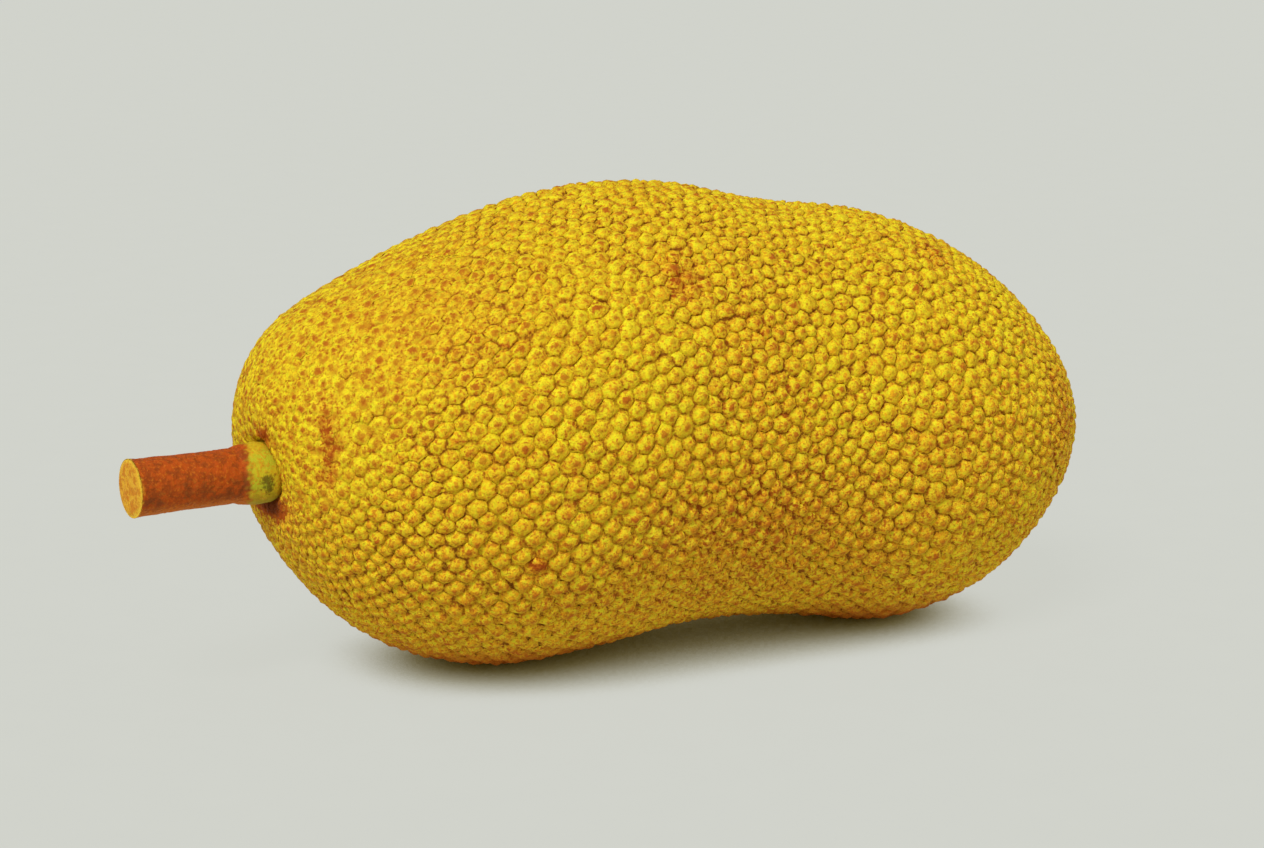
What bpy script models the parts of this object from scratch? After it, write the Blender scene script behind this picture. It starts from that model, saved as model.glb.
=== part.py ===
"""A whole jackfruit lying on its side, with the cut stub of the stalk that it hung from.

There are two solids. The fruit is one piece: its surface is the smooth envelope that the tips of the
tubercles reach. The stalk is a turned stub that sits in the dimple at the fruit's stalk end.

Metres, +Z up. The stalk points to -X. The origin is on the ground, under the middle of the whole object's
bounding box.
"""

import math

import bmesh
import bpy
from mathutils import Matrix, Vector

# ---------------------------------------------------------------- driving sizes
FRUIT_LENGTH = 0.398
FRUIT_MIDDLE_X = 0.0268  # off the origin, because the stalk is part of the object's length
FLAT_DEPTH = 0.0012  # how deep the fruit's own weight flattens the spots that it rests on

# The fruit's sections, from its stalk end to its blossom end. Each row holds the place along the body, as a
# share of its half length, and then the half width, the sideways drift, and the heights of the top and the
# underside. These are the sizes of the swell alone, which the rounded ends then close in on.
SECTIONS = (
    (-1.00, 0.122, 0.0030, 0.2325, -0.0150),
    (-0.75, 0.120, 0.0000, 0.2145, -0.0210),
    (-0.50, 0.118, -0.0020, 0.2110, -0.0145),
    (-0.25, 0.111, 0.0000, 0.2120, -0.0005),
    (0.00, 0.103, 0.0020, 0.2090, 0.0090),
    (0.25, 0.100, 0.0020, 0.2012, 0.0030),
    (0.50, 0.109, 0.0000, 0.2055, -0.0150),
    (0.75, 0.116, -0.0010, 0.2050, -0.0225),
    (1.00, 0.120, -0.0020, 0.1940, -0.0120),
)
BODY_SUBDIVISIONS = 5  # of the icosphere that the body is shaped from, about 9 mm between its points

# The stalk's seat is the middle of its inner end, on the floor of the dimple.
SEAT = Vector((-0.1607, -0.0106, 0.0949))
STALK_DIRECTION = Vector((-1.0, -0.179, 0.010)).normalized()
STALK_LENGTH = 0.0648
STALK_RADIUS = 0.0120
SAWN_END_RADIUS = 0.0125
COLLAR_LENGTH = 0.0165
COLLAR_RADIUS = 0.0136
STALK_SEGMENTS = 40
JOIN_GAP = 0.0003  # between the stalk and the fruit

DIMPLE_DEPTH = 0.0034
DIMPLE_FLOOR_RADIUS = 0.0130
DIMPLE_RIM_RADIUS = 0.0340
DIMPLE_REFINEMENTS = 2  # how often the body's edges are halved around the dimple

RIND_COLOUR = (0.68, 0.42, 0.020)
BARK_COLOUR = (0.37, 0.07, 0.010)


# ---------------------------------------------------------------- shape of the body
def smooth_step(share):
    share = min(max(share, 0.0), 1.0)
    return share * share * (3.0 - 2.0 * share)


def section_at(place):
    """Half width, drift, top and underside at this place, on smooth curves through the sections."""
    last = len(SECTIONS) - 1
    index = 0
    while index < last - 1 and place > SECTIONS[index + 1][0]:
        index += 1
    before = Vector(SECTIONS[max(index - 1, 0)])
    start = Vector(SECTIONS[index])
    end = Vector(SECTIONS[index + 1])
    after = Vector(SECTIONS[min(index + 2, last)])
    span = end[0] - start[0]
    slope_in = (end - before) * (span / (end[0] - before[0]))
    slope_out = (after - start) * (span / (after[0] - start[0]))
    share = (place - start[0]) / span
    row = start.lerp(end, smooth_step(share))
    row += slope_in * (share * (1.0 - share) ** 2)
    row -= slope_out * (share**2 * (1.0 - share))
    return row[1:]


def body_point(direction):
    """Where this point of a unit sphere lies on the fruit, before its dimple is pressed in."""
    half_width, drift, top, underside = section_at(direction.x)
    return Vector(
        (
            FRUIT_MIDDLE_X + direction.x * FRUIT_LENGTH / 2,
            drift + direction.y * half_width,
            (top + underside) / 2 + direction.z * (top - underside) / 2,
        )
    )


def distance_from_stalk_axis(point):
    offset = point - SEAT
    return (offset - STALK_DIRECTION * offset.dot(STALK_DIRECTION)).length


def is_near_dimple(point):
    return point.x < SEAT.x and distance_from_stalk_axis(point) < DIMPLE_RIM_RADIUS * 1.2


def press_dimple(point):
    """Move a point of the body inwards along the stalk's axis, by as much as the dimple is deep there."""
    if not is_near_dimple(point):
        return point
    width = DIMPLE_RIM_RADIUS - DIMPLE_FLOOR_RADIUS
    share = (DIMPLE_RIM_RADIUS - distance_from_stalk_axis(point)) / width
    return point - STALK_DIRECTION * (DIMPLE_DEPTH * smooth_step(share))


# ---------------------------------------------------------------- helpers
def plain_material(name, colour, roughness):
    material = bpy.data.materials.new(name)
    material.use_nodes = True
    shader = material.node_tree.nodes["Principled BSDF"]
    shader.inputs["Base Color"].default_value = (*colour, 1.0)
    shader.inputs["Roughness"].default_value = roughness
    shader.inputs["Metallic"].default_value = 0.0
    return material


def object_from(shape, name, material=None):
    """Link a new object that takes over this bmesh."""
    data = bpy.data.meshes.new(name)
    shape.to_mesh(data)
    shape.free()
    if material:
        data.materials.append(material)
    made = bpy.data.objects.new(name, data)
    bpy.context.scene.collection.objects.link(made)
    return made


def cut_away(body, cutter):
    """Cut this cutter out of the body, and keep the cutter itself out of sight."""
    cut = body.modifiers.new(cutter.name, "BOOLEAN")
    cut.operation = "DIFFERENCE"
    cut.solver = "EXACT"
    cut.object = cutter
    cutter.hide_render = True
    cutter.display_type = "WIRE"


def stalk_frame():
    """Puts a shape made along +Z on the stalk's axis, with its base on the seat."""
    turn = STALK_DIRECTION.to_track_quat("Z", "Y").to_matrix().to_4x4()
    return Matrix.Translation(SEAT) @ turn


# ---------------------------------------------------------------- the pieces
def make_ground_cutter():
    """A block whose top is the ground, for the flat spots."""
    thickness = 0.05
    shape = bmesh.new()
    bmesh.ops.create_cube(shape, size=1.0)
    bmesh.ops.scale(shape, verts=shape.verts, vec=(FRUIT_LENGTH, FRUIT_LENGTH, thickness))
    bmesh.ops.translate(shape, verts=shape.verts, vec=(FRUIT_MIDDLE_X, 0.0, -thickness / 2))
    return object_from(shape, "ground_cutter")


def make_seat_cutter():
    """A plug a little larger than the stalk's inner end, for the pocket that the stalk sits in."""
    radius = COLLAR_RADIUS + JOIN_GAP
    shape = bmesh.new()
    bmesh.ops.create_cone(
        shape,
        cap_ends=True,
        segments=STALK_SEGMENTS,
        radius1=radius,
        radius2=radius,
        depth=COLLAR_LENGTH,
    )
    bmesh.ops.translate(shape, verts=shape.verts, vec=(0.0, 0.0, COLLAR_LENGTH / 2 - JOIN_GAP))
    bmesh.ops.transform(shape, matrix=stalk_frame(), verts=shape.verts)
    return object_from(shape, "seat_cutter")


def make_fruit():
    shape = bmesh.new()
    bmesh.ops.create_icosphere(shape, subdivisions=BODY_SUBDIVISIONS, radius=1.0)
    for _ in range(DIMPLE_REFINEMENTS):
        near = [
            edge
            for edge in shape.edges
            if all(is_near_dimple(body_point(vertex.co.normalized())) for vertex in edge.verts)
        ]
        bmesh.ops.subdivide_edges(shape, edges=near, cuts=1)
        bmesh.ops.triangulate(shape, faces=shape.faces)
    for vertex in shape.verts:
        vertex.co = press_dimple(body_point(vertex.co.normalized()))
    lowest = min(vertex.co.z for vertex in shape.verts)
    bmesh.ops.translate(shape, verts=shape.verts, vec=(0.0, 0.0, -lowest - FLAT_DEPTH))

    fruit = object_from(shape, "fruit", plain_material("rind", RIND_COLOUR, 0.5))
    fruit.data.shade_smooth()
    cut_away(fruit, make_ground_cutter())
    cut_away(fruit, make_seat_cutter())
    return fruit


def make_stalk():
    """A turned stub: the end in the fruit, the swollen collar, the step to the bark, and the sawn end."""
    step = 0.0015
    chamfer = 0.0008
    bark_start = COLLAR_LENGTH + step
    profile = (
        (0.0, 0.0),
        (COLLAR_RADIUS * 0.90, 0.0),
        (COLLAR_RADIUS * 0.97, COLLAR_LENGTH * 0.15),
        (COLLAR_RADIUS, COLLAR_LENGTH * 0.45),
        (COLLAR_RADIUS * 0.97, COLLAR_LENGTH * 0.80),
        (COLLAR_RADIUS * 0.93, COLLAR_LENGTH),
        (STALK_RADIUS, bark_start),
        (STALK_RADIUS, (bark_start + STALK_LENGTH) / 2),
        (SAWN_END_RADIUS, STALK_LENGTH - chamfer),
        (SAWN_END_RADIUS - chamfer, STALK_LENGTH),
        (0.0, STALK_LENGTH),
    )
    shape = bmesh.new()
    points = [shape.verts.new((radius, 0.0, height)) for radius, height in profile]
    edges = [shape.edges.new(pair) for pair in zip(points, points[1:])]
    bmesh.ops.spin(
        shape,
        geom=points + edges,
        axis=(0.0, 0.0, 1.0),
        steps=STALK_SEGMENTS,
        angle=math.tau,
        use_merge=True,
    )
    bmesh.ops.remove_doubles(shape, verts=shape.verts, dist=1e-6)
    bmesh.ops.recalc_face_normals(shape, faces=shape.faces)
    stalk = object_from(shape, "stalk", plain_material("bark", BARK_COLOUR, 0.7))
    stalk.matrix_world = stalk_frame()
    stalk.data.shade_smooth()
    stalk.data.set_sharp_from_angle(angle=0.7)
    return stalk


def main():
    for leftover in list(bpy.data.objects):
        bpy.data.objects.remove(leftover)
    make_fruit()
    make_stalk()


main()
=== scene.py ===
"""A ripe jackfruit with a tubercled rind and the cut stub of its stalk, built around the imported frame.

Each piece has an operator, and the panel in the 3D view's sidebar lists them. Metres, +Z up, the stalk at -X.
"""

import math

import bmesh
import bpy
import numpy as np
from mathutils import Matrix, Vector, noise
from mathutils.bvhtree import BVHTree


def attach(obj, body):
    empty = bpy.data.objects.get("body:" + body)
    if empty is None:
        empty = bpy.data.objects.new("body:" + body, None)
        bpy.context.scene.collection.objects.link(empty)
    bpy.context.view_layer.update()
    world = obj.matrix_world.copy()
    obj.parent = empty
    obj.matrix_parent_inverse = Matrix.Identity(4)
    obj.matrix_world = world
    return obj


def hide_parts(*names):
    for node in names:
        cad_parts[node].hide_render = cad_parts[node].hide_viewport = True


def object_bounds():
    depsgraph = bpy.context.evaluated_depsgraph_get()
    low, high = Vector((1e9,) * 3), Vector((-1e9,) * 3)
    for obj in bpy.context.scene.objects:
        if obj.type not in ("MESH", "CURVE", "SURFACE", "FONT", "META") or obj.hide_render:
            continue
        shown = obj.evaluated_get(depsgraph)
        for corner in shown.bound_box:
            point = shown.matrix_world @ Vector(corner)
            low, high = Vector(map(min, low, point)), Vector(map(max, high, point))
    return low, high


bl_info = {
    "name": "Jackfruit",
    "version": (1, 0, 0),
    "blender": (4, 5, 0),
    "location": "3D View > Sidebar > Jackfruit",
    "description": "Builds a jackfruit with a tubercled rind, its stalk and a pale studio",
    "category": "Object",
}

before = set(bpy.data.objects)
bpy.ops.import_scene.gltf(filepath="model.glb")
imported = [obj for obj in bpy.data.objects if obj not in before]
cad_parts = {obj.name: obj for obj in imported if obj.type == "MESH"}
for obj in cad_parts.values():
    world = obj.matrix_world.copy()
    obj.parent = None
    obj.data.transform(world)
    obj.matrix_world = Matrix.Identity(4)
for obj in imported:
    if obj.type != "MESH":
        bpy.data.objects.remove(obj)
CAD_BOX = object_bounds()
GOLDEN_ANGLE = math.pi * (3.0 - math.sqrt(5.0))

# Places along the fruit, from its stalk end to its blossom end, and the distance between tubercles there.
SPACINGS = (
    (0.0, 0.0058),
    (0.06, 0.0068),
    (0.13, 0.0077),
    (0.28, 0.0083),
    (0.50, 0.0076),
    (0.72, 0.0082),
    (1.0, 0.0067),
)

# How far the tubercles are pushed about before each step that evens them out, as a multiple of their
# unevenness.
PUSHES = (1.6, 1.0, 0.0, 0.0, 0.0, 0.0, 0.0, 0.0, 0.0, 0.75, 0.0)

# The tubercles lie more evenly close to the stalk: the share of each push that is left there, the place along
# the fruit where it starts to grow, and the stretch over which it becomes the full push.
CALM_PUSH = 0.25
CALM_PLACE = 0.10
CALM_FADE = 0.30

# The share of the full relief that the tubercles have close to the stalk, and at the blossom end.
LOW_RELIEF = 0.28
END_RELIEF = 0.75

# How far out from a tubercle's tip each ring of its points lies, as a share of the way to the crevice, and
# how much of the relief it keeps. The tip has the full relief, and the crevice has none.
TUBERCLE_RINGS = ((0.31, 0.86), (0.65, 0.55), (0.87, 0.24))

# Which way the tubercles lean, as a share of the distance between them: towards the blossom end, and down.
LEAN = np.array((0.09, 0.0, -0.09))

# How much the tubercles differ: in relief, in how far a tip strays from its lean and sinks, and in how far
# the points of a ring stray outwards and in depth. All are shares.
RELIEF_RANGE = (0.8, 1.1)
TIP_STRAY = 0.08
TIP_DROP = 0.22
RING_STRAY = 0.12
RING_DEPTHS = (0.75, 1.25)

# The small lumps of the rind itself, which show most where the tubercles are low.
LUMP_SIZE = 0.0042
LUMP_DEPTH = 0.0014

# How brown the rind is where it touches the ground, and the height up to which it is.
GROUND_BROWN = 0.5
GROUND_REACH = 0.020

# Where the rind has browned, and in the hollow under the stalk a painted shadow as well: the middle of each
# patch, how far it reaches along X, Y and Z, and how brown it is.
PATCHES = (
    ((-0.1485, -0.053, 0.117), (0.0028, 0.012, 0.025), 0.85),  # the scar beside the stalk
    ((-0.171, -0.018, 0.112), (0.010, 0.006, 0.004), 1.5),  # the dent over the stalk
    # The hollow under the stalk is dark red-brown and also holds a painted shadow under the stalk.
    ((-0.168, -0.012, 0.0800), (0.014, 0.018, 0.0065), 2.2),  # the hollow under the stalk
    ((-0.098, -0.060, 0.160), (0.045, 0.050, 0.024), 0.20),  # along the shoulder
    ((0.002, -0.074, 0.179), (0.010, 0.020, 0.012), 0.7),  # a bruise high on the middle
    ((0.140, -0.040, 0.176), (0.007, 0.012, 0.007), 0.7),  # a bruise on top of the small lobe
    ((0.196, -0.060, 0.100), (0.016, 0.036, 0.034), 0.50),  # by the blossom end
    ((0.030, -0.100, 0.135), (0.022, 0.050, 0.055), 0.34),  # the middle of the side
    ((0.130, -0.095, 0.100), (0.050, 0.050, 0.030), 0.26),  # the side of the small lobe
    ((-0.072, -0.098, 0.064), (0.005, 0.020, 0.005), 0.9),  # a bruise low on the large lobe
    ((0.032, -0.095, 0.075), (0.065, 0.050, 0.038), 0.42),  # low on the middle
    ((0.092, 0.095, 0.110), (0.034, 0.040, 0.024), 0.38),  # the back of the small lobe
    ((-0.078, 0.100, 0.130), (0.024, 0.040, 0.036), 0.34),  # the back of the large lobe
)

# How fine the noises are that the materials share, in waves per metre.
FINE = 820.0
MOTTLE = 330.0

# The key light's strength, and how wide it looks in degrees, which makes it soft. The stage's settings say
# where it stands.
KEY_STRENGTH = 2.02
KEY_SOFTNESS = 25.0

# The other lights: how far around the fruit and how high each stands, its strength, and how wide it looks.
# All angles are in degrees.
FILLS = (
    ("left fill", -85.0, 6.0, 0.24, 60.0),
    ("right fill", 72.0, 8.0, 0.42, 60.0),
)

# The light from all around, and the backdrop that shows behind the fruit.
STUDIO_GLOW = (0.41, 0.41, 0.41)
BACKDROP_COLOUR = (0.637, 0.651, 0.597)

# The floor glows, and its glow dims into a painted shadow where it is enclosed within the shadow's reach. As
# a place gets more open, each channel of its glow grows from none at its start to full at the end.
FLOOR_RADIUS = 12.0
FLOOR_GLOW = (0.590, 0.603, 0.553)
SHADOW_REACH = 0.070
SHADOW_STARTS = (-0.01, 0.01, 0.06)
SHADOW_END = 0.43


# ---------------------------------------------------------------- settings
class RindSettings(bpy.types.PropertyGroup):
    scale: bpy.props.FloatProperty(
        name="Tubercle size",
        description="Makes all the tubercles larger or smaller",
        default=1.0,
    )
    relief: bpy.props.FloatProperty(
        name="Relief",
        description="Height of a full tubercle over its crevices, as a share of the spacing",
        default=0.38,
    )
    unevenness: bpy.props.FloatProperty(
        name="Unevenness",
        description="How far the tubercles stray from an even layout, as a share of the spacing",
        default=0.10,
    )
    seed: bpy.props.IntProperty(
        name="Seed",
        description="Changes which tubercles are large, small, pale or brown",
        default=4,
    )
    yellow: bpy.props.FloatVectorProperty(
        name="Yellow",
        description="Main colour of the tubercles",
        default=(0.90, 0.725, 0.015),
        subtype="COLOR",
    )
    tip: bpy.props.FloatVectorProperty(
        name="Tip",
        description="Colour of the dots on the tubercles' tips, and of the rind's flecks and grain",
        default=(0.47, 0.108, 0.010),
        subtype="COLOR",
    )
    crevice: bpy.props.FloatVectorProperty(
        name="Crevice",
        description="Colour of the crevices between the tubercles",
        default=(0.32, 0.095, 0.006),
        subtype="COLOR",
    )
    brown: bpy.props.FloatVectorProperty(
        name="Brown",
        description="Colour of the browned patches",
        default=(0.36, 0.065, 0.006),
        subtype="COLOR",
    )


class StalkSettings(bpy.types.PropertyGroup):
    relief: bpy.props.FloatProperty(
        name="Bark relief",
        description="Depth of the bark's fissures",
        default=0.0004,
        subtype="DISTANCE",
    )
    bark: bpy.props.FloatVectorProperty(
        name="Bark",
        description="Colour of the stalk's bark",
        default=(0.50, 0.082, 0.006),
        subtype="COLOR",
    )
    collar: bpy.props.FloatVectorProperty(
        name="Collar",
        description="Colour of the swollen collar at the fruit",
        default=(0.68, 0.50, 0.015),
        subtype="COLOR",
    )
    wood: bpy.props.FloatVectorProperty(
        name="Wood",
        description="Colour of the sawn face",
        default=(0.83, 0.44, 0.026),
        subtype="COLOR",
    )


class StageSettings(bpy.types.PropertyGroup):
    view_turn: bpy.props.FloatProperty(
        name="View turn",
        description="How far the camera is turned around the fruit, towards the stalk",
        default=math.radians(-22.0),
        subtype="ANGLE",
    )
    view_rise: bpy.props.FloatProperty(
        name="View rise",
        description="How far the camera looks down",
        default=math.radians(12.5),
        subtype="ANGLE",
    )
    distance: bpy.props.FloatProperty(
        name="Distance",
        description="Distance from the camera to the point that it looks at",
        default=1.34,
        subtype="DISTANCE",
    )
    aim: bpy.props.FloatVectorProperty(
        name="Aim",
        description="The point that the camera looks at, from the middle of the object's box",
        default=(0.0094, 0.0, -0.0055),
        subtype="TRANSLATION",
    )
    lens: bpy.props.FloatProperty(
        name="Lens",
        description="Focal length of the camera in millimetres",
        default=85.0,
    )
    key_turn: bpy.props.FloatProperty(
        name="Key turn",
        description="Where the main light comes from, around the fruit",
        default=math.radians(-42.0),
        subtype="ANGLE",
    )
    key_rise: bpy.props.FloatProperty(
        name="Key rise",
        description="How high the main light stands",
        default=math.radians(51.0),
        subtype="ANGLE",
    )


# ---------------------------------------------------------------- the fruit's surface
def welded_mesh(node):
    """A bmesh of a CAD node with its split corners joined again, so that its normals are smooth."""
    shape = bmesh.new()
    shape.from_mesh(node.data)
    bmesh.ops.remove_doubles(shape, verts=shape.verts, dist=1e-6)
    shape.normal_update()
    return shape


class Surface:
    """The smooth envelope of the fruit, from its CAD node."""

    def __init__(self, node):
        shape = welded_mesh(node)
        bmesh.ops.triangulate(shape, faces=shape.faces)
        shape.verts.ensure_lookup_table()
        shape.faces.ensure_lookup_table()
        self.points = np.array([vertex.co for vertex in shape.verts])
        self.normals = np.array([vertex.normal for vertex in shape.verts])
        self.triangles = np.array([[v.index for v in face.verts] for face in shape.faces])
        self.tree = BVHTree.FromBMesh(shape)
        shape.free()
        self.low = self.points.min(axis=0)
        high = self.points.max(axis=0)
        self.centre = (self.low + high) / 2
        self.half_size = (high - self.low) / 2

    def smooth_normal(self, point, face):
        """The normal at this point of a face, blended from the face's corners."""
        corners = self.triangles[face]
        a, b, c = self.points[corners]
        across = np.cross(b - a, c - a)
        area = across @ across
        share_b = np.cross(point - a, c - a) @ across / area
        share_c = np.cross(b - a, point - a) @ across / area
        normal = (1 - share_b - share_c) * self.normals[corners[0]]
        normal = normal + share_b * self.normals[corners[1]] + share_c * self.normals[corners[2]]
        return normal / np.linalg.norm(normal)

    def outwards(self, direction):
        """The point that is reached from the fruit's middle in this direction."""
        place, _, _, _ = self.tree.ray_cast(Vector(self.centre), Vector(direction))
        return np.array(place)

    def nearest(self, points):
        """The nearest points of the surface, and the normals there."""
        places = np.empty_like(points)
        normals = np.empty_like(points)
        for index, point in enumerate(points):
            place, _, face, _ = self.tree.find_nearest(Vector(point))
            places[index] = place
            normals[index] = self.smooth_normal(places[index], face)
        return places, normals

    def along(self, x):
        """A place along the fruit, from 0 at its stalk end to 1 at its blossom end."""
        return (x - self.low[0]) / (2 * self.half_size[0])


# ---------------------------------------------------------------- layout of the tubercles
def blend(a, b, share):
    """Smoothly from a to b as the share goes from 0 to 1, and held beyond."""
    share = np.clip(share, 0.0, 1.0)
    return a + (b - a) * share * share * (3 - 2 * share)


def spacing_at(x, surface, settings):
    """The distance between tubercles at this place along the fruit."""
    places, spacings = zip(*SPACINGS)
    return np.interp(surface.along(x), places, spacings) * settings.scale


def relief_at(points, surface):
    """How much of the full relief the tubercles have here.

    It is little at the stalk end, most of all on the shoulder over the stalk, and less at the blossom end.
    """
    along = surface.along(points[:, 0])
    up = (points[:, 2] - surface.centre[2]) / surface.half_size[2]
    shoulder = np.clip(up + 0.3, 0.0, 1.0)
    place, fade = 0.09 * shoulder, 0.11 + 0.20 * shoulder
    relief = blend(LOW_RELIEF, 1.0, (along - place) / fade)
    return relief * blend(1.0, END_RELIEF, (along - 0.82) / 0.18)


def spiral_directions(surface, settings):
    """Directions on a unit sphere in a golden-angle spiral, packed as densely as each stretch needs."""
    a, b, c = (surface.points[surface.triangles[:, corner]] for corner in range(3))
    areas = np.linalg.norm(np.cross(b - a, c - a), axis=1) / 2
    middles = ((a + b + c) / 3)[:, 0]
    order = np.argsort(middles)
    cell_areas = math.sqrt(0.75) * spacing_at(middles, surface, settings) ** 2
    reached = np.cumsum((areas / cell_areas)[order])
    count = int(reached[-1])
    x = np.interp(np.arange(count) + 0.5, reached, middles[order])
    along = np.clip((x - surface.centre[0]) / surface.half_size[0], -0.9999, 0.9999)
    turn = np.arange(count) * GOLDEN_ANGLE
    ring = np.sqrt(1 - along**2)
    return np.stack([along, ring * np.cos(turn), ring * np.sin(turn)], axis=1)


def relax(shape, surface, settings, push):
    """Move each point to the middle of the triangles around it, plus a push, and back onto the surface."""
    shape.verts.ensure_lookup_table()
    points = np.array([vertex.co for vertex in shape.verts])
    triangles = np.array([[vertex.index for vertex in face.verts] for face in shape.faces])
    a, b, c = (points[triangles[:, corner]] for corner in range(3))
    middles = (a + b + c) / 3
    areas = np.linalg.norm(np.cross(b - a, c - a), axis=1)
    weights = areas / spacing_at(middles[:, 0], surface, settings) ** 4
    parts = np.column_stack([middles, np.ones(len(middles))]) * weights[:, None]
    sums = np.zeros((len(points), 4))
    for corner in range(3):
        np.add.at(sums, triangles[:, corner], parts)
    places, _ = surface.nearest(sums[:, :3] / sums[:, 3:] + push)
    for vertex, place in zip(shape.verts, places):
        vertex.co = place
    bmesh.ops.beautify_fill(shape, faces=shape.faces, edges=shape.edges, method="ANGLE")


def tubercle_layout(surface, settings):
    """A bmesh on the fruit's surface with one point for each tubercle, and an edge to each neighbour."""
    rng = np.random.default_rng(settings.seed)
    directions = spiral_directions(surface, settings)
    shape = bmesh.new()
    for direction in directions:
        shape.verts.new(direction)
    bmesh.ops.convex_hull(shape, input=shape.verts)
    shape.verts.ensure_lookup_table()
    for vertex, direction in zip(shape.verts, directions):
        vertex.co = surface.outwards(direction * surface.half_size)
    bmesh.ops.beautify_fill(shape, faces=shape.faces, edges=shape.edges, method="ANGLE")
    count = len(directions)
    for share in PUSHES:
        x = np.array([vertex.co.x for vertex in shape.verts])
        reach = spacing_at(x, surface, settings) * settings.unevenness * share
        reach *= blend(CALM_PUSH, 1.0, (surface.along(x) - CALM_PLACE) / CALM_FADE)
        relax(shape, surface, settings, rng.normal(size=(count, 3)) * reach[:, None])
    bmesh.ops.recalc_face_normals(shape, faces=shape.faces)
    return shape


def faces_around(vertex):
    """The indices of the faces around a point, in order."""
    found = []
    first = loop = vertex.link_loops[0]
    while True:
        found.append(loop.face.index)
        loop = loop.link_loop_prev.link_loop_radial_next
        if loop == first:
            return found


# ---------------------------------------------------------------- the rind
class Rind:
    """The rind's points and faces: one many-sided dome for each tubercle, joined at the crevices."""

    def __init__(self, surface, settings):
        layout = tubercle_layout(surface, settings)
        layout.verts.ensure_lookup_table()
        layout.faces.ensure_lookup_table()
        layout.faces.index_update()
        self.tips, self.tip_normals = surface.nearest(np.array([vertex.co for vertex in layout.verts]))
        neighbours = np.array([[vertex.index for vertex in face.verts] for face in layout.faces])
        corners, corner_normals = surface.nearest(self.tips[neighbours].mean(axis=1))
        around = [np.array(faces_around(vertex)) for vertex in layout.verts]
        layout.free()

        rng = np.random.default_rng(settings.seed + 1)
        count = len(self.tips)
        self.sizes = spacing_at(self.tips[:, 0], surface, settings)
        self.reliefs = relief_at(self.tips, surface)
        self.depths = settings.relief * self.sizes * self.reliefs * rng.uniform(*RELIEF_RANGE, count)
        self.tints = rng.random(count)
        self.dots = rng.random(count)
        lean = LEAN - self.tip_normals * (self.tip_normals @ LEAN)[:, None]
        self.leans = lean * self.sizes[:, None]
        corner_depths = self.depths[neighbours].mean(axis=1)

        self.bases = [corners]
        self.points = [corners - corner_normals * corner_depths[:, None]]
        self.spreads = [np.ones(len(corners))]
        self.owners = [neighbours[:, 0]]
        self.faces = []
        self.face_owners = []
        self.start = len(corners)
        for index, ring in enumerate(around):
            self.add_dome(index, corners[ring], list(ring), rng)
        self.bases = np.concatenate(self.bases)
        self.points = np.concatenate(self.points)
        self.spreads = np.concatenate(self.spreads)
        self.owners = np.concatenate(self.owners)
        self.face_owners = np.array(self.face_owners)
        self.flanks = self.flank_shares()
        self.add_lumps(surface, settings)

    def flank_shares(self):
        """Where each point lies on its tubercle.

        1 is the foot of the side that the tubercle leans to, which the rind's material darkens as painted
        shade, and -1 is the foot of the other side.
        """
        out = self.bases - self.tips[self.owners]
        leans = self.leans[self.owners]
        feet = np.linalg.norm(leans, axis=1) * self.sizes[self.owners] / 2
        return (out * leans).sum(axis=1) / (feet + 1e-9)

    def add_dome(self, index, corners, outer, rng):
        """Add one tubercle inside the ring of crevice corners around it."""
        sides = len(corners)
        size, depth, normal = self.sizes[index], self.depths[index], self.tip_normals[index]
        lean = self.leans[index] + rng.normal(size=3) * size * TIP_STRAY
        tip = self.tips[index] + lean - normal * (lean @ normal)
        drop = rng.uniform(0.0, TIP_DROP) * depth
        out = corners - tip
        reach = np.linalg.norm(out, axis=1)
        for share, kept in reversed(TUBERCLE_RINGS):
            rounding = (reach.mean() / reach) ** (1 - share**3)
            wobble = 1 + rng.normal(size=sides) * RING_STRAY
            base = tip + out * (share * rounding * wobble)[:, None]
            sink = drop * (1 - share) + depth * (1 - kept) * rng.uniform(*RING_DEPTHS, sides)
            inner = self.add_ring(index, base, normal, sink, share)
            for side in range(sides):
                after = (side + 1) % sides
                self.add_face(index, (outer[side], outer[after], inner[after], inner[side]))
            outer = inner
        (top,) = self.add_ring(index, tip[None, :], normal, np.array([drop]), 0.0)
        for side in range(sides):
            self.add_face(index, (outer[side], outer[(side + 1) % sides], top))

    def add_ring(self, index, base, normal, sink, share):
        """Add points of a tubercle, sunk this far under the fruit's surface, and say where they are."""
        count = len(base)
        self.bases.append(base)
        self.points.append(base - normal * sink[:, None])
        self.spreads.append(np.full(count, share))
        self.owners.append(np.full(count, index))
        self.start += count
        return list(range(self.start - count, self.start))

    def add_face(self, index, corners):
        self.faces.append(corners)
        self.face_owners.append(index)

    def add_lumps(self, surface, settings):
        """Press small hollows into the points, deepest where the tubercles are low, but not at the stalk."""
        spots = self.bases / (settings.scale * LUMP_SIZE)
        self.lumps = 0.5 + 0.5 * np.array([noise.noise(Vector(spot)) for spot in spots])
        deep = LUMP_DEPTH * blend(1.0, 0.4, (self.reliefs[self.owners] - LOW_RELIEF) / 0.5)
        deep *= blend(0.5, 1.0, surface.along(self.bases[:, 0]) / 0.09)
        self.points -= self.tip_normals[self.owners] * (deep * (1 - self.lumps))[:, None]


def browning(points):
    """How brown the rind is at each point: in its patches, one of which also paints the shadow in the hollow
    under the stalk, and where it lies near the ground.
    """
    brown = np.zeros(len(points))
    for place, reach, strength in PATCHES:
        away = ((points - np.array(place)) / np.array(reach)) ** 2
        brown = np.maximum(brown, strength * np.exp(-away.sum(axis=1)))
    return np.maximum(brown, blend(GROUND_BROWN, 0.0, points[:, 2] / GROUND_REACH))


def store(piece, name, values):
    """Keep one value for each of the piece's points, for its material to read."""
    layer = piece.data.attributes.new(name, "FLOAT", "POINT")
    layer.data.foreach_set("value", np.asarray(values, dtype=np.float32))


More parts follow.
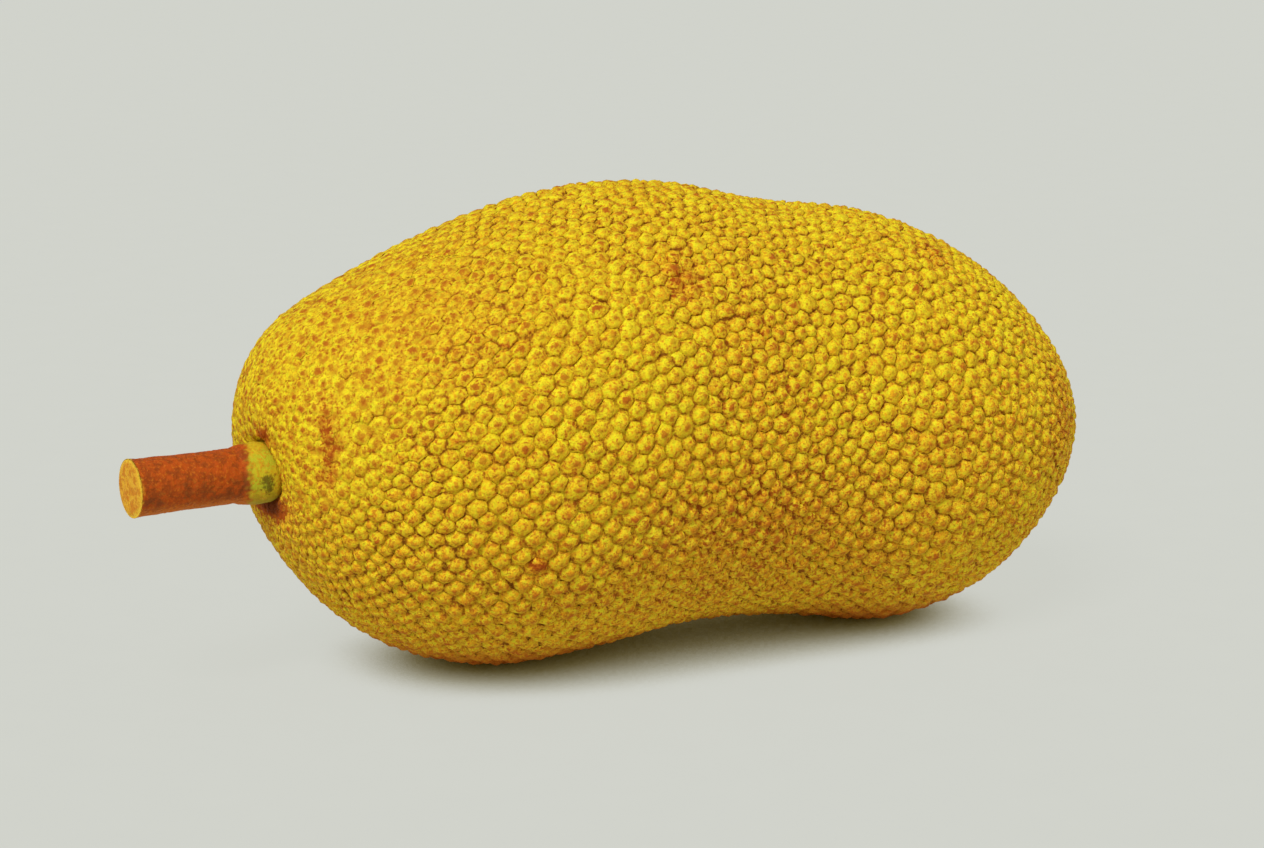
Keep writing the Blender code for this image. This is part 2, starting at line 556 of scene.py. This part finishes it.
def unwrap(piece, rind):
    """Lay the rind out flat: six views of it, with each tubercle whole in one of them."""
    views = []
    for axis, across, up in ((1, 0, 2), (2, 0, 1), (0, 1, 2)):
        for sign in (-1, 1):
            views.append((axis, sign, across, up))
    facing = np.argmax([rind.tip_normals[:, axis] * sign for axis, sign, _, _ in views], axis=0)
    corners = np.concatenate([np.array(face) for face in rind.faces])
    view_of = np.repeat(facing[rind.face_owners], [len(face) for face in rind.faces])
    flat = np.zeros((len(corners), 2))
    gap = 0.004
    first_column = 4  # how many of the views stand in it
    column, height, width = 0.0, 0.0, 0.0
    for number, (_, _, across, up) in enumerate(views):
        if number == first_column:
            column, height = width, 0.0
        chosen = view_of == number
        places = rind.bases[corners[chosen]][:, (across, up)]
        low = places.min(axis=0)
        size = places.max(axis=0) - low
        flat[chosen] = places - low + (column + gap, height + gap)
        height += size[1] + gap
        width = max(width, column + size[0] + gap)
    flat /= flat.max() + gap
    layer = piece.data.uv_layers.new(name="OFBake")
    layer.data.foreach_set("uv", flat.ravel())


def mesh_object(name, points, faces):
    data = bpy.data.meshes.new(name)
    data.from_pydata(points.tolist(), [], faces)
    data.shade_smooth()
    made = bpy.data.objects.new(name, data)
    bpy.context.scene.collection.objects.link(made)
    return made


# ---------------------------------------------------------------- the stalk
class Stalk:
    """The stalk's points and faces: rings around its axis, from the fruit to the middle of the sawn face."""

    SIDES = 128
    STATIONS = 110  # how many rings lie along the bark
    FACE_RINGS = 14  # and how many across the sawn face
    CHAMFER = 0.0008
    END_SLACK = 0.0003  # how far from the last point a point may lie and still belong to an end

    # The green of the collar reaches a multiple of the way to its widest place. It ends a little before that,
    # later in a tongue along one side, at a ragged edge, and fades out.
    COLLAR_MULTIPLE = 2.2
    COLLAR_BACK = 0.0050
    COLLAR_TONGUE = 0.0045
    COLLAR_RAGGED = 0.0022
    COLLAR_FADE = 0.0036

    CUT_RAGGED = 0.0016  # how far the bark has torn back from the sawn face
    CUT_FADE = 0.0008
    BARK_FADE = 0.004  # the last stretch of the bark, over which its relief dies out

    # The spot of painted shade on the collar near the fruit: how high it lies and how far it reaches along
    # the stalk, and the same for how far under.
    DAMP_HEIGHT, DAMP_REACH = 0.0075, 0.0045
    DAMP_UNDER, DAMP_WIDTH = 0.58, 0.20

    # How fine the noises are, in waves per metre.
    RAGGED_GRAIN = 600
    WOOD_GRAIN = 800
    LUMP_GRAIN = 130
    FISSURE_GRAIN = 420

    def __init__(self, node, settings):
        outline = np.array([vertex.co for vertex in node.data.vertices])
        self.base, sawn_end = self.end_middles(outline)
        self.length = np.linalg.norm(sawn_end - self.base)
        self.axis = (sawn_end - self.base) / self.length
        heights = (outline - self.base) @ self.axis
        radii = np.linalg.norm(outline - self.base - heights[:, None] * self.axis, axis=1)
        stations = np.unique(heights.round(4))
        self.profile = (stations, [radii[abs(heights - s) < 1e-4].max() for s in stations])

        self.side = np.cross(self.axis, (0.0, 0.0, 1.0))
        self.side /= np.linalg.norm(self.side)
        self.up = np.cross(self.side, self.axis)
        self.points = []
        self.shares = {"collar": [], "cut": [], "under": [], "damp": [], "rim": []}
        self.add_points(settings)
        self.faces = self.all_faces()

    def end_middles(self, outline):
        """The middles of the end in the fruit and of the sawn end."""
        middle = outline.mean(axis=0)
        rough_axis = np.linalg.svd(outline - middle, full_matrices=False)[2][0]
        heights = (outline - middle) @ rough_axis
        low_end = outline[heights < heights.min() + self.END_SLACK]
        high_end = outline[heights > heights.max() - self.END_SLACK]
        middles = [(end.min(axis=0) + end.max(axis=0)) / 2 for end in (low_end, high_end)]
        return sorted(middles, key=lambda place: -place[0])

    def add_points(self, settings):
        stations, radii = self.profile
        self.collar_end = stations[np.argmax(radii)] * self.COLLAR_MULTIPLE
        for height in np.linspace(0.0, self.length - self.CHAMFER, self.STATIONS):
            self.add_ring(height, np.interp(height, stations, radii), settings)
        edge = np.interp(self.length - self.CHAMFER, stations, radii)
        for ring in range(self.FACE_RINGS):
            share = 1 - ring / self.FACE_RINGS
            height = self.length - self.CHAMFER * max(0.0, share * 4 - 3) ** 2
            self.add_ring(height, edge * share, settings, share)
        self.add_point(self.base + self.axis * self.length, collar=0.0, cut=1.0, under=0.5, damp=0.0, rim=0.0)

    def all_faces(self):
        faces = []
        last = (self.STATIONS + self.FACE_RINGS - 1) * self.SIDES
        for low in range(0, last, self.SIDES):
            high = low + self.SIDES
            for side in range(self.SIDES):
                after = (side + 1) % self.SIDES
                faces.append((low + side, low + after, high + after, high + side))
        for side in range(self.SIDES):
            faces.append((last + side, last + (side + 1) % self.SIDES, len(self.points) - 1))
        faces.append(tuple(reversed(range(self.SIDES))))
        return faces

    def add_ring(self, height, radius, settings, rim=0.0):
        """Add a ring of points. The rim says how far out on the sawn face it is, and is 0 on the bark."""
        on_face = rim > 0.0
        for number in range(self.SIDES):
            turn = math.tau * number / self.SIDES
            out = self.side * math.cos(turn) + self.up * math.sin(turn)
            spot = self.base + self.axis * height + out * radius
            ragged = noise.noise(Vector(spot * self.RAGGED_GRAIN))
            under = 0.5 - 0.5 * math.sin(turn)
            collar = self.collar_share(height, turn, ragged)
            if on_face:
                cut = 1.0
                grain = abs(noise.noise(Vector(spot * self.WOOD_GRAIN)))
                spot = spot - self.axis * settings.relief * grain
            else:
                torn = height + self.CUT_RAGGED * (1 - ragged)
                cut = float(blend(0.0, 1.0, (torn - self.length) / self.CUT_FADE))
                lump = 0.5 + 0.5 * noise.noise(Vector(spot * self.LUMP_GRAIN))
                fissure = abs(noise.noise(Vector(spot * self.FISSURE_GRAIN))) * 1.5 * (1 - collar)
                fade = float(blend(0.0, 1.0, (self.length - height) / self.BARK_FADE))
                spot = spot - out * settings.relief * (lump + fissure) * fade
            damp = self.damp_share(height, under)
            self.add_point(spot, collar=collar, cut=cut, under=under, damp=damp, rim=rim)

    def collar_share(self, height, turn, ragged):
        """How green the collar is here."""
        tongue = max(0.0, -math.cos(turn))
        end = self.collar_end - self.COLLAR_BACK + self.COLLAR_TONGUE * tongue + self.COLLAR_RAGGED * ragged
        return float(blend(1.0, 0.0, (height - end + self.COLLAR_FADE / 2) / self.COLLAR_FADE))

    def damp_share(self, height, under):
        """How strong the painted shade on the collar near the fruit is here."""
        along = ((height - self.DAMP_HEIGHT) / self.DAMP_REACH) ** 2
        return math.exp(-along - ((under - self.DAMP_UNDER) / self.DAMP_WIDTH) ** 2)

    def add_point(self, spot, **shares):
        self.points.append(spot)
        for name, share in shares.items():
            self.shares[name].append(share)


# ---------------------------------------------------------------- materials
class Nodes:
    """Short forms for building a material's nodes. A value is a socket or a number."""

    def __init__(self, name):
        self.material = bpy.data.materials.new(name)
        self.material.use_nodes = True
        self.tree = self.material.node_tree
        self.shader = self.tree.nodes["Principled BSDF"]
        self.place = self.tree.nodes.new("ShaderNodeTexCoord").outputs["Object"]

    def link(self, value, target):
        if isinstance(value, bpy.types.NodeSocket):
            self.tree.links.new(value, target)
        else:
            target.default_value = value

    def attribute(self, name):
        node = self.tree.nodes.new("ShaderNodeAttribute")
        node.attribute_name = name
        return node.outputs["Fac"]

    def noise(self, scale, detail=2.0, roughness=0.5):
        node = self.tree.nodes.new("ShaderNodeTexNoise")
        self.link(self.place, node.inputs["Vector"])
        node.inputs["Scale"].default_value = scale
        node.inputs["Detail"].default_value = detail
        node.inputs["Roughness"].default_value = roughness
        return node.outputs["Fac"]

    def height(self):
        """How high over the ground a place on the piece is."""
        node = self.tree.nodes.new("ShaderNodeSeparateXYZ")
        self.link(self.place, node.inputs["Vector"])
        return node.outputs["Z"]

    def remap(self, value, low, high, new_low, new_high):
        """A value taken smoothly from one range to another, and held at the ends."""
        node = self.tree.nodes.new("ShaderNodeMapRange")
        node.interpolation_type = "SMOOTHSTEP"
        self.link(value, node.inputs["Value"])
        for socket, number in zip(node.inputs[1:5], (low, high, new_low, new_high)):
            socket.default_value = number
        return node.outputs["Result"]

    def share(self, value, start, full, most=1.0):
        """A share that is 0 before the start and grows smoothly to its most, up or down the value."""
        return self.remap(value, start, full, 0.0, most)

    def math(self, operation, a, b):
        node = self.tree.nodes.new("ShaderNodeMath")
        node.operation = operation
        self.link(a, node.inputs[0])
        self.link(b, node.inputs[1])
        return node.outputs["Value"]

    def plus(self, a, b):
        return self.math("ADD", a, b)

    def minus(self, a, b):
        return self.math("SUBTRACT", a, b)

    def times(self, a, b):
        return self.math("MULTIPLY", a, b)

    def vary(self, value, *noises):
        """A value moved up and down by noises that run from 0 to 1, each with its amount."""
        for by, amount in noises:
            value = self.plus(value, self.times(self.minus(by, 0.5), amount))
        return value

    def mix(self, share, a, b):
        """The first colour with this share of the second one laid over it."""
        node = self.tree.nodes.new("ShaderNodeMix")
        node.data_type = "RGBA"
        self.link(share, node.inputs[0])
        for colour, socket in ((a, node.inputs[6]), (b, node.inputs[7])):
            if not isinstance(colour, bpy.types.NodeSocket):
                colour = (*colour[:3], 1.0)
            self.link(colour, socket)
        return node.outputs[2]

    def finish(self, colour, roughness, bumps, strength, distance, specular):
        """Join the colour, the roughness and the bumps to the shader."""
        self.link(colour, self.shader.inputs["Base Color"])
        self.link(roughness, self.shader.inputs["Roughness"])
        self.shader.inputs["Specular IOR Level"].default_value = specular
        node = self.tree.nodes.new("ShaderNodeBump")
        node.inputs["Strength"].default_value = strength
        node.inputs["Distance"].default_value = distance
        self.link(bumps, node.inputs["Height"])
        self.link(node.outputs["Normal"], self.shader.inputs["Normal"])
        return self.material


def shade(colour, *factors):
    """A colour with each channel scaled."""
    return tuple(min(channel * factor, 1.0) for channel, factor in zip(colour, factors))


class RindNodes(Nodes):
    """The rind's finish, laid on in layers, from the tubercles' own yellow to the browned patches."""

    def __init__(self, settings):
        super().__init__("rind")
        self.yellow = settings.yellow
        self.tip = settings.tip
        self.crevice = settings.crevice
        self.burnt = settings.brown
        self.pale = shade(self.yellow, 1.04, 1.14, 1.3)

        self.fine = self.noise(FINE, 2.0, 0.6)
        self.mottle = self.noise(MOTTLE, 3.0, 0.6)
        self.patchy = self.noise(60.0, 2.0)
        self.spread = self.attribute("spread")
        self.brown = self.attribute("brown")
        self.smooth = self.remap(self.attribute("relief"), 0.25, 0.80, 1.0, 0.0)
        flank = self.vary(self.attribute("flank"), (self.mottle, 1.6), (self.fine, 1.0))
        self.flank = self.share(flank, -0.6, 0.8)
        self.ragged = self.vary(self.spread, (self.fine, 0.60), (self.mottle, 0.60))
        # Painted shade: the rind is made warmer and darker low down, and this is added to how brown it is.
        near_ground = self.remap(self.vary(self.height(), (self.patchy, 0.05)), 0.02, 0.13, 0.42, 0.0)
        self.warmth = self.plus(near_ground, self.times(self.brown, 0.9))

    def by_relief(self, full, low):
        """A number for where the tubercles are full, which goes over to another where they are low."""
        return self.remap(self.smooth, 0.0, 1.0, full, low)

    def body(self):
        """Each tubercle's own yellow, deeper in broad patches, warmer and darker low down as painted shade,
        and warmer where it is brown.
        """
        colour = self.mix(self.attribute("tint"), self.pale, self.yellow)
        deep = self.share(self.vary(self.noise(16.0, 3.0), (self.patchy, 0.7)), 0.46, 0.80, most=0.5)
        colour = self.mix(deep, colour, shade(self.yellow, 0.88, 0.74, 0.8))
        return self.mix(self.warmth, colour, shade(self.yellow, 1.10, 0.72, 2.1))

    def ripening(self, colour):
        """Small places that are still greenish, and others that are riper."""
        hue = self.noise(560.0, 2.0, 0.6)
        unripe = self.share(hue, 0.51, 0.64, most=0.55)
        colour = self.mix(unripe, colour, shade(self.yellow, 0.74, 0.97, 1.2))
        # Riper spots come more often with the painted low shade and where the rind is brown.
        ripe = self.share(self.minus(hue, self.times(self.warmth, 0.12)), 0.49, 0.34, most=0.85)
        ripe = self.times(ripe, self.by_relief(1.0, 0.5))
        return self.mix(ripe, colour, shade(self.yellow, 0.92, 0.48, 0.7))

    def amber(self, colour):
        """Painted shade in deep orange on the side that a tubercle leans to and towards its foot, and deep
        orange in a fine grain.
        """
        amber = shade(self.yellow, 0.73, 0.43, 1.0)
        # Painted shade: deep orange on the side that each tubercle leans to, away from the key light.
        colour = self.mix(self.times(self.flank, 0.5), colour, amber)
        # Painted shade: deep orange from halfway out to each tubercle's crevice, stronger where the relief is
        # full.
        foot = self.times(self.share(self.ragged, 0.50, 1.0, most=0.55), self.by_relief(1.0, 0.6))
        colour = self.mix(foot, colour, amber)
        return self.mix(self.share(self.fine, 0.50, 0.66, most=0.50), colour, amber)

    def grain(self, colour):
        """The tips' colour in the small hollows where the tubercles are low, and a mottle and a grain all
        over.
        """
        hollow = self.share(self.vary(self.attribute("lump"), (self.fine, 0.5)), 0.41, 0.28, most=0.55)
        colour = self.mix(self.times(hollow, self.smooth), colour, self.tip)
        colour = self.mix(self.share(self.mottle, 0.51, 0.70, most=0.55), colour, self.tip)
        # The grain is denser with the painted low shade and where the rind is brown.
        grain = self.plus(self.vary(self.fine, (self.mottle, 0.6)), self.times(self.warmth, 0.16))
        colour = self.mix(self.share(grain, 0.58, 0.74, most=0.70), colour, self.tip)
        return self.mix(self.share(grain, 0.42, 0.30, most=0.50), colour, self.pale)

    def crevices(self, colour):
        """The line of the crevices, in their own darker colour and in painted shade that makes it darker and
        stronger on the side a tubercle leans to.
        """
        line = self.times(self.share(self.ragged, 0.82, 1.06), self.by_relief(0.95, 0.15))
        # Painted shade: the line grows stronger and darker on the side that each tubercle leans to.
        line = self.times(line, self.remap(self.flank, 0.0, 1.0, 0.45, 1.0))
        brown = self.mix(self.flank, self.crevice, shade(self.crevice, 0.70, 0.75, 1.0))
        return self.mix(line, colour, brown)

    def dots(self, colour):
        """A broken dot on each tip, of its own strength, and loose flecks where the tubercles are low."""
        strength = self.attribute("dot")
        away = self.vary(self.spread, (self.mottle, self.by_relief(1.9, 1.4)), (self.fine, 1.0))
        away = self.minus(away, self.times(self.smooth, 0.10))
        dot = self.remap(self.vary(away, (strength, 0.24)), 0.00, 0.42, 1.0, 0.0)
        faint = self.times(strength, self.by_relief(0.50, 0.45))
        colour = self.mix(self.times(dot, self.minus(0.95, faint)), colour, self.tip)
        flecks = self.share(self.vary(self.noise(420.0, 2.0, 0.6), (self.fine, 0.5)), 0.56, 0.68, most=0.60)
        return self.mix(self.times(flecks, self.smooth), colour, self.tip)

    def browned(self, colour):
        """The tips' colour along the ground, and the browned patches, almost black in the middle of the
        strongest, which paints the shadow in the hollow under the stalk.
        """
        height = self.vary(self.height(), (self.mottle, 0.040), (self.fine, 0.025))
        colour = self.mix(self.remap(height, 0.004, 0.024, 0.90, 0.0), colour, self.tip)
        patch = self.vary(self.brown, (self.mottle, 1.8), (self.fine, 1.0))
        colour = self.mix(self.share(patch, 0.30, 0.95, most=0.9), colour, self.burnt)
        # Painted shadow: the middle of the strongest patches goes almost black, for the hollow under the
        # stalk.
        core = self.share(self.vary(self.brown, (self.fine, 1.0)), 1.0, 1.6, most=0.8)
        return self.mix(core, colour, shade(self.burnt, 0.35, 0.4, 0.8))

    def bumps(self):
        """The point of each tip, and the rind's own roughness, weaker where the tubercles are low."""
        bumps = self.plus(self.remap(self.spread, 0.0, 0.26, 0.6, 0.0), self.times(self.fine, 0.8))
        bumps = self.plus(bumps, self.times(self.mottle, -1.2))
        return self.times(bumps, self.by_relief(1.2, 0.8))


def rind_material(settings):
    nodes = RindNodes(settings)
    colour = nodes.body()
    for layer in (nodes.ripening, nodes.amber, nodes.grain, nodes.crevices, nodes.dots, nodes.browned):
        colour = layer(colour)
    roughness = nodes.remap(nodes.fine, 0.3, 0.7, 0.60, 0.78)
    return nodes.finish(colour, roughness, nodes.bumps(), strength=0.8, distance=0.0007, specular=0.04)


class StalkNodes(Nodes):
    """The stalk's finishes: its bark, its green collar and its sawn face."""

    def __init__(self):
        super().__init__("bark")
        self.grain = self.noise(300.0, 4.0, 0.6)
        self.fine = self.noise(FINE, 3.0, 0.6)
        self.broad = self.noise(95.0, 3.0)
        self.under = self.attribute("under")

    def bark_colour(self, bark):
        """Mottled bark with light specks, dark blotches low on its sides that are also painted shade, and a
        pale underside of painted bounce light.
        """
        colour = self.mix(self.share(self.grain, 0.36, 0.60), shade(bark, 0.62, 0.70, 0.9), bark)
        colour = self.mix(self.share(self.fine, 0.50, 0.72, most=0.60), colour, shade(bark, 1.4, 2.4, 2.0))
        # Dark blotches that are also painted shade, darker towards the lower side.
        blotch = self.share(self.vary(self.under, (self.broad, 2.4), (self.fine, 0.8)), 0.55, 1.05, most=0.75)
        blotch = self.times(blotch, self.remap(self.under, 0.70, 0.95, 1.0, 0.2))
        colour = self.mix(blotch, colour, shade(bark, 0.34, 0.55, 1.5))
        # Painted bounce light: the underside is paler.
        bottom = self.share(self.vary(self.under, (self.fine, 0.4)), 0.72, 0.96, most=0.8)
        return self.mix(bottom, colour, shade(bark, 1.25, 2.1, 2.5))

    def collar_colour(self, green):
        """A mottled green collar, darker underneath in painted shade, with a dark spot of painted shade near
        the fruit.
        """
        colour = self.mix(self.share(self.broad, 0.40, 0.62), green, shade(green, 0.78, 1.05, 1.4))
        colour = self.mix(self.share(self.grain, 0.50, 0.64, most=0.6), colour, shade(green, 0.72, 0.66, 0.9))
        colour = self.mix(self.share(self.fine, 0.46, 0.64, most=0.8), colour, shade(green, 1.0, 0.60, 0.8))
        shadow = self.share(self.vary(self.under, (self.grain, 0.6)), 0.60, 0.95, most=0.7)
        colour = self.mix(shadow, colour, shade(green, 0.5, 0.5, 0.8))
        # Painted shade: a dark spot on the collar near the fruit, low on its side.
        damp = self.vary(self.attribute("damp"), (self.fine, 1.6), (self.grain, 1.6))
        return self.mix(self.share(damp, 0.36, 1.0, most=0.8), colour, shade(green, 0.14, 0.17, 0.5))

    def sawn_colour(self, wood):
        """Speckled wood with a paler rim."""
        colour = self.mix(self.share(self.grain, 0.42, 0.58), wood, shade(wood, 0.80, 0.55, 0.6))
        colour = self.mix(self.share(self.fine, 0.48, 0.68, most=0.6), colour, shade(wood, 0.66, 0.36, 0.5))
        rim = self.share(self.vary(self.attribute("rim"), (self.fine, 0.4)), 0.80, 1.0, most=0.8)
        return self.mix(rim, colour, shade(wood, 1.08, 1.38, 1.6))


def stalk_material(settings):
    nodes = StalkNodes()
    bark = nodes.bark_colour(settings.bark)
    colour = nodes.mix(nodes.attribute("collar"), bark, nodes.collar_colour(settings.collar))
    colour = nodes.mix(nodes.attribute("cut"), colour, nodes.sawn_colour(settings.wood))
    roughness = nodes.remap(nodes.grain, 0.3, 0.7, 0.6, 0.8)
    return nodes.finish(colour, roughness, nodes.fine, strength=0.6, distance=0.0008, specular=0.12)


def floor_material():
    """A pale floor that glows, and glows a little less where the fruit hides the studio from it, which paints
    its shadow.
    """
    nodes = Nodes("floor")
    # Painted shadow: the glow dims where the fruit encloses the floor.
    open_sky = nodes.tree.nodes.new("ShaderNodeAmbientOcclusion")
    open_sky.inputs["Distance"].default_value = SHADOW_REACH
    glow = nodes.tree.nodes.new("ShaderNodeCombineColor")
    for socket, dark, full in zip(glow.inputs, SHADOW_STARTS, FLOOR_GLOW):
        nodes.link(nodes.share(open_sky.outputs["AO"], dark, SHADOW_END, most=full), socket)
    nodes.link(glow.outputs["Color"], nodes.shader.inputs["Emission Color"])
    nodes.shader.inputs["Emission Strength"].default_value = 1.0
    grain = nodes.noise(40.0, 2.0)
    colour = nodes.mix(grain, (0.045, 0.045, 0.045), (0.055, 0.055, 0.055))
    roughness = nodes.remap(grain, 0.3, 0.7, 0.85, 0.95)
    return nodes.finish(colour, roughness, grain, strength=0.1, distance=0.0005, specular=0.0)


# ---------------------------------------------------------------- operators
class JACKFRUIT_OT_make_rind(bpy.types.Operator):
    """Build the rind, with a dome for each tubercle"""

    bl_idname = "jackfruit.make_rind"
    bl_label = "Make the rind"

    def execute(self, context):
        settings = context.scene.jackfruit_rind
        surface = Surface(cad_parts["fruit"])
        rind = Rind(surface, settings)
        piece = mesh_object("fruit_rind", rind.points, rind.faces)
        store(piece, "spread", rind.spreads)
        store(piece, "tint", rind.tints[rind.owners])
        store(piece, "dot", rind.dots[rind.owners])
        store(piece, "flank", rind.flanks)
        store(piece, "lump", rind.lumps)
        store(piece, "relief", rind.reliefs[rind.owners])
        store(piece, "brown", browning(rind.bases))
        unwrap(piece, rind)
        piece.data.materials.append(rind_material(settings))
        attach(piece, "root")
        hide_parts("fruit")
        return {"FINISHED"}


class JACKFRUIT_OT_make_stalk(bpy.types.Operator):
    """Build the stalk, with its bark, its collar and its sawn face"""

    bl_idname = "jackfruit.make_stalk"
    bl_label = "Make the stalk"

    def execute(self, context):
        settings = context.scene.jackfruit_stalk
        stalk = Stalk(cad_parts["stalk"], settings)
        piece = mesh_object("stalk_stub", np.array(stalk.points), stalk.faces)
        for name, shares in stalk.shares.items():
            store(piece, name, shares)
        piece.data.materials.append(stalk_material(settings))
        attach(piece, "root")
        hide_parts("stalk")
        return {"FINISHED"}


class JACKFRUIT_OT_make_stage(bpy.types.Operator):
    """Set up the floor, the lights and the camera"""

    bl_idname = "jackfruit.make_stage"
    bl_label = "Make the stage"

    def execute(self, context):
        settings = context.scene.jackfruit_stage
        make_floor()
        make_world(context.scene)
        make_lights(context.scene, settings)
        make_camera(context.scene, settings)
        return {"FINISHED"}


def make_floor():
    shape = bmesh.new()
    bmesh.ops.create_circle(shape, cap_ends=True, segments=96, radius=FLOOR_RADIUS)
    data = bpy.data.meshes.new("floor")
    shape.to_mesh(data)
    shape.free()
    data.materials.append(floor_material())
    floor = bpy.data.objects.new("floor", data)
    bpy.context.scene.collection.objects.link(floor)


def direction(turn, rise):
    """The direction from the fruit to something that stands at this turn and this height around it."""
    return Vector((math.sin(turn) * math.cos(rise), -math.cos(turn) * math.cos(rise), math.sin(rise)))


def make_world(scene):
    """An even glow that lights the fruit, in front of a backdrop that only shows."""
    world = bpy.data.worlds.new("studio")
    world.use_nodes = True
    tree = world.node_tree
    glow = tree.nodes["Background"]
    glow.inputs["Color"].default_value = (*STUDIO_GLOW, 1.0)
    backdrop = tree.nodes.new("ShaderNodeBackground")
    backdrop.inputs["Color"].default_value = (*BACKDROP_COLOUR, 1.0)
    seen = tree.nodes.new("ShaderNodeLightPath")
    either = tree.nodes.new("ShaderNodeMixShader")
    tree.links.new(seen.outputs["Is Camera Ray"], either.inputs[0])
    tree.links.new(glow.outputs[0], either.inputs[1])
    tree.links.new(backdrop.outputs[0], either.inputs[2])
    tree.links.new(either.outputs[0], tree.nodes["World Output"].inputs["Surface"])
    scene.world = world


def make_lights(scene, settings):
    key = direction(settings.key_turn, settings.key_rise)
    add_sun(scene, "key", key, KEY_STRENGTH, KEY_SOFTNESS)
    for name, turn, rise, strength, softness in FILLS:
        add_sun(scene, name, direction(math.radians(turn), math.radians(rise)), strength, softness)


def add_sun(scene, name, place, strength, softness):
    data = bpy.data.lights.new(name, "SUN")
    data.energy = strength
    data.angle = math.radians(softness)
    sun = bpy.data.objects.new(name, data)
    sun.rotation_euler = (-place).to_track_quat("-Z", "Y").to_euler()
    scene.collection.objects.link(sun)


def make_camera(scene, settings):
    low, high = (Vector(corner) for corner in CAD_BOX)
    aim = (low + high) / 2 + Vector(settings.aim)
    back = direction(settings.view_turn, settings.view_rise)
    data = bpy.data.cameras.new("camera")
    data.lens = settings.lens
    camera = bpy.data.objects.new("camera", data)
    camera.location = aim + back * settings.distance
    camera.rotation_euler = (-back).to_track_quat("-Z", "Y").to_euler()
    scene.collection.objects.link(camera)
    scene.camera = camera
    scene.view_settings.view_transform = "Standard"


class JACKFRUIT_PT_panel(bpy.types.Panel):
    bl_idname = "JACKFRUIT_PT_panel"
    bl_label = "Jackfruit"
    bl_space_type = "VIEW_3D"
    bl_region_type = "UI"
    bl_category = "Jackfruit"

    def draw(self, context):
        for operator in OPERATORS:
            self.layout.operator(operator.bl_idname)


SETTINGS = {
    "jackfruit_rind": RindSettings,
    "jackfruit_stalk": StalkSettings,
    "jackfruit_stage": StageSettings,
}
OPERATORS = (JACKFRUIT_OT_make_rind, JACKFRUIT_OT_make_stalk, JACKFRUIT_OT_make_stage)


def register():
    for name, group in SETTINGS.items():
        bpy.utils.register_class(group)
        setattr(bpy.types.Scene, name, bpy.props.PointerProperty(type=group))
    for item in OPERATORS + (JACKFRUIT_PT_panel,):
        bpy.utils.register_class(item)


def unregister():
    for item in reversed(OPERATORS + (JACKFRUIT_PT_panel,)):
        bpy.utils.unregister_class(item)
    for name, group in SETTINGS.items():
        delattr(bpy.types.Scene, name)
        bpy.utils.unregister_class(group)


def main():
    register()
    bpy.ops.jackfruit.make_rind()
    bpy.ops.jackfruit.make_stalk()
    bpy.ops.jackfruit.make_stage()


if __name__ == "__main__":
    main()
